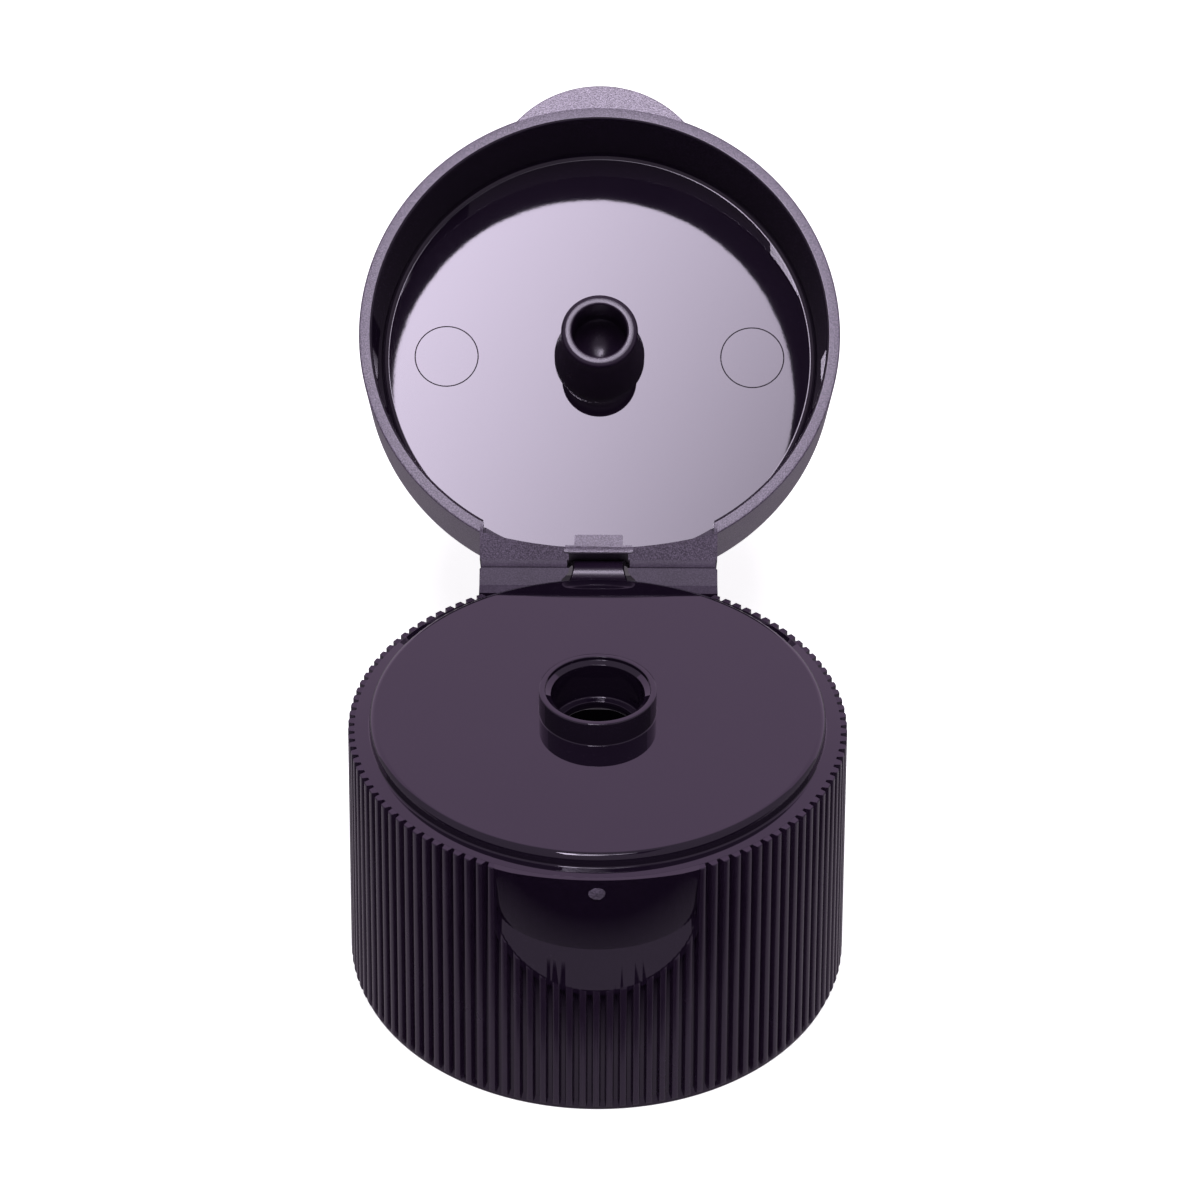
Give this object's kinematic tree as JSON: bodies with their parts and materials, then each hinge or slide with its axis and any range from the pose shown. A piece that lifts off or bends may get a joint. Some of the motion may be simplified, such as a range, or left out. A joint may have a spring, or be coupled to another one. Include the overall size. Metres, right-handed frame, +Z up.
{
  "type": "flip-top cap",
  "caption": "Ribbed screw closure with a central spout, a thumb recess and a one-piece flip lid held open on a living snap hinge.",
  "frame": {"origin": "cap axis at the skirt's bottom plane", "axes": "+Z up the cap axis towards the spout, +Y from the axis towards the hinge, -Y towards the thumb recess"},
  "size_m": [0.0288, 0.0542, 0.0363],
  "materials": {
    "body_plastic": "polished polypropylene, black with a violet cast",
    "lid_plastic": "polished inside, spark-eroded texture on the rim and outside",
    "hinge_plastic": "thin flexed polypropylene web"
  },
  "bodies": {
    "closure": {"closure_body": "body_plastic", "hinge_film_left": "hinge_plastic", "hinge_film_right": "hinge_plastic", "snap_strap": "hinge_plastic"},
    "lid": {"flip_lid": "lid_plastic"}
  },
  "joints": [
    {"name": "lid_hinge", "type": "hinge", "parent": "closure", "child": "lid", "pos_m": [0, 0.01427, 0.0171], "axis": [1, 0, 0], "range_deg": [0, 141.5], "deforming": ["hinge_film_left", "hinge_film_right", "snap_strap"]}
  ]
}
